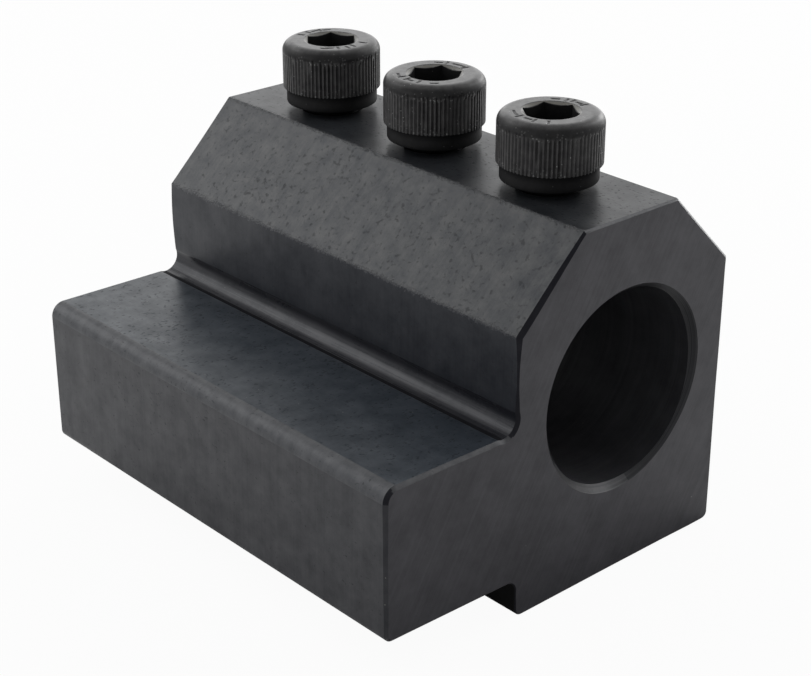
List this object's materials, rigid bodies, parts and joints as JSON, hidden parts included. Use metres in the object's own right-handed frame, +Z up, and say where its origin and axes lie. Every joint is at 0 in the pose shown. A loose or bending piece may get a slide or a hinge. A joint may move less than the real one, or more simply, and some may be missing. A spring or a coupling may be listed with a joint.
{
  "type": "axial boring bar holder",
  "caption": "Steel holder block with a lengthwise bore for a round tool shank, a side foot, a locating step below it and a row of socket head clamp screws on top.",
  "frame": {"origin": "middle of the footprint at the level of the underside: the block stands on the flat face below its locating step", "axes": "+Z up through the clamp screws; the bore runs along Y and its front mouth faces -Y; the foot reaches towards -X"},
  "size_m": [0.0554, 0.0662, 0.0558],
  "materials": {
    "block_steel": "black oxide on milled steel, satin, lightly mottled",
    "screw_steel": "black oxide on forged steel, satin, knurl crests lighter"
  },
  "bodies": {
    "block": {"holder_body": "block_steel"},
    "screw_front": {"clamp_screw_front": "screw_steel"},
    "screw_middle": {"clamp_screw_middle": "screw_steel"},
    "screw_rear": {"clamp_screw_rear": "screw_steel"}
  },
  "joints": [
    {"name": "screw_front_travel", "type": "slide", "parent": "block", "child": "screw_front", "axis": [0, 0, 1], "range_m": [-0.0009, 0.0075]},
    {"name": "screw_middle_travel", "type": "slide", "parent": "block", "child": "screw_middle", "axis": [0, 0, 1], "range_m": [-0.0009, 0.0075]},
    {"name": "screw_rear_travel", "type": "slide", "parent": "block", "child": "screw_rear", "axis": [0, 0, 1], "range_m": [-0.0009, 0.0075]}
  ]
}
